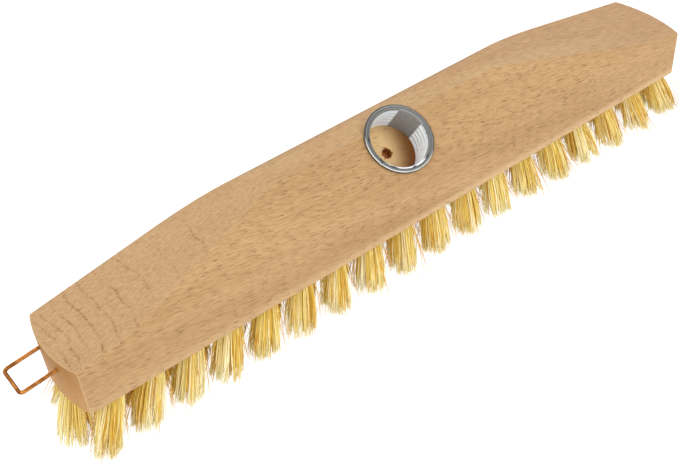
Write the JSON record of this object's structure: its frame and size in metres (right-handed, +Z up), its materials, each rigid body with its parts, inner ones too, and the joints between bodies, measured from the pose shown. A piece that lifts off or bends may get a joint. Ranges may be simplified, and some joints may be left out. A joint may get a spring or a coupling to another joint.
{
  "type": "scrub brush head",
  "caption": "Deck scrub brush head: hipped beech block with rows of plant-fibre tufts, a leaning metal screw socket for a handle and a wire hanging loop.",
  "frame": {"origin": "on the floor plane of the bristle tips, under the middle of the block", "axes": "+X along the block away from the hanging loop, -Y to the side that the handle leans to, +Z up out of the block's crown"},
  "size_m": [0.3225, 0.038, 0.0658],
  "materials": {
    "beech": "planed and bare",
    "tinned_steel": "bright rolled sheet",
    "copper_wire": "copper-coated wire",
    "staple_wire": "flat drawn wire",
    "bristle_fibre": "straw-coloured plant fibre"
  },
  "bodies": {
    "root": {"beech_block": "beech", "threaded_socket": "tinned_steel", "hanging_loop": "copper_wire", "tuft_staples": "staple_wire", "tuft_front_01": "bristle_fibre", "tuft_front_02": "bristle_fibre", "tuft_front_03": "bristle_fibre", "tuft_front_04": "bristle_fibre", "tuft_front_05": "bristle_fibre", "tuft_front_06": "bristle_fibre", "tuft_front_07": "bristle_fibre", "tuft_front_08": "bristle_fibre", "tuft_front_09": "bristle_fibre", "tuft_front_10": "bristle_fibre", "tuft_front_11": "bristle_fibre", "tuft_front_12": "bristle_fibre", "tuft_front_13": "bristle_fibre", "tuft_front_14": "bristle_fibre", "tuft_front_15": "bristle_fibre", "tuft_front_16": "bristle_fibre", "tuft_front_17": "bristle_fibre", "tuft_front_18": "bristle_fibre", "tuft_middle_01": "bristle_fibre", "tuft_middle_02": "bristle_fibre", "tuft_middle_03": "bristle_fibre", "tuft_middle_04": "bristle_fibre", "tuft_middle_05": "bristle_fibre", "tuft_middle_06": "bristle_fibre", "tuft_middle_07": "bristle_fibre", "tuft_middle_08": "bristle_fibre", "tuft_middle_09": "bristle_fibre", "tuft_middle_10": "bristle_fibre", "tuft_middle_11": "bristle_fibre", "tuft_middle_12": "bristle_fibre", "tuft_middle_13": "bristle_fibre", "tuft_middle_14": "bristle_fibre", "tuft_middle_15": "bristle_fibre", "tuft_middle_16": "bristle_fibre", "tuft_middle_17": "bristle_fibre", "tuft_middle_18": "bristle_fibre", "tuft_middle_19": "bristle_fibre", "tuft_back_01": "bristle_fibre", "tuft_back_02": "bristle_fibre", "tuft_back_03": "bristle_fibre", "tuft_back_04": "bristle_fibre", "tuft_back_05": "bristle_fibre", "tuft_back_06": "bristle_fibre", "tuft_back_07": "bristle_fibre", "tuft_back_08": "bristle_fibre", "tuft_back_09": "bristle_fibre", "tuft_back_10": "bristle_fibre", "tuft_back_11": "bristle_fibre", "tuft_back_12": "bristle_fibre", "tuft_back_13": "bristle_fibre", "tuft_back_14": "bristle_fibre", "tuft_back_15": "bristle_fibre", "tuft_back_16": "bristle_fibre", "tuft_back_17": "bristle_fibre", "tuft_back_18": "bristle_fibre"}
  },
  "joints": []
}
